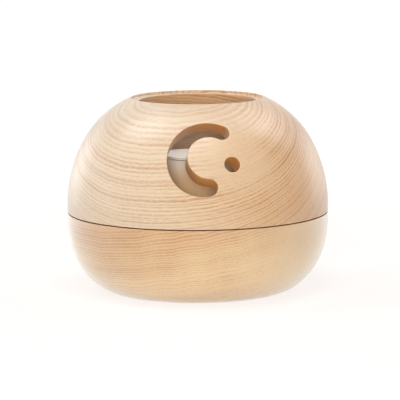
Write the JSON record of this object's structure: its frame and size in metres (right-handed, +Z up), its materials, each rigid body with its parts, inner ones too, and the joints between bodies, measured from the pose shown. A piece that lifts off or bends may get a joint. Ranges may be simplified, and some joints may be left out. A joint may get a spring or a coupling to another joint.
{
  "type": "yarn bowl",
  "caption": "Turned wooden yarn bowl: a dome with a hooked yarn slot and a feed hole lifts off a shallow lower bowl round a turning core.",
  "frame": {"origin": "middle of the foot, on the surface that the bowl stands on", "axes": "+Z up along the turning axis; -Y towards the side with the yarn slot; +X to the right seen from that side"},
  "size_m": [0.15, 0.15, 0.111],
  "materials": {
    "ash_lower": "pale ash, turned and sanded smooth, satin oil",
    "ash_upper": "pale ash, turned and sanded smooth, satin oil",
    "steel": "ground steel pin",
    "nylon": "natural nylon",
    "core_white": "off-white, smooth, matt",
    "felt": "pressed wool felt"
  },
  "bodies": {
    "base": {"lower_bowl": "ash_lower", "core_pin": "steel", "core_washer": "nylon", "base_felt": "felt"},
    "dome": {"upper_dome": "ash_upper"},
    "core": {"core_tube": "core_white", "core_cap": "core_white"}
  },
  "joints": [
    {"name": "dome_lift", "type": "slide", "parent": "base", "child": "dome", "axis": [0, 0, 1], "range_m": [0, 0.05]},
    {"name": "core_spin", "type": "hinge", "parent": "base", "child": "core", "pos_m": [0, 0, 0.0133], "axis": [0, 0, 1], "continuous": true}
  ]
}
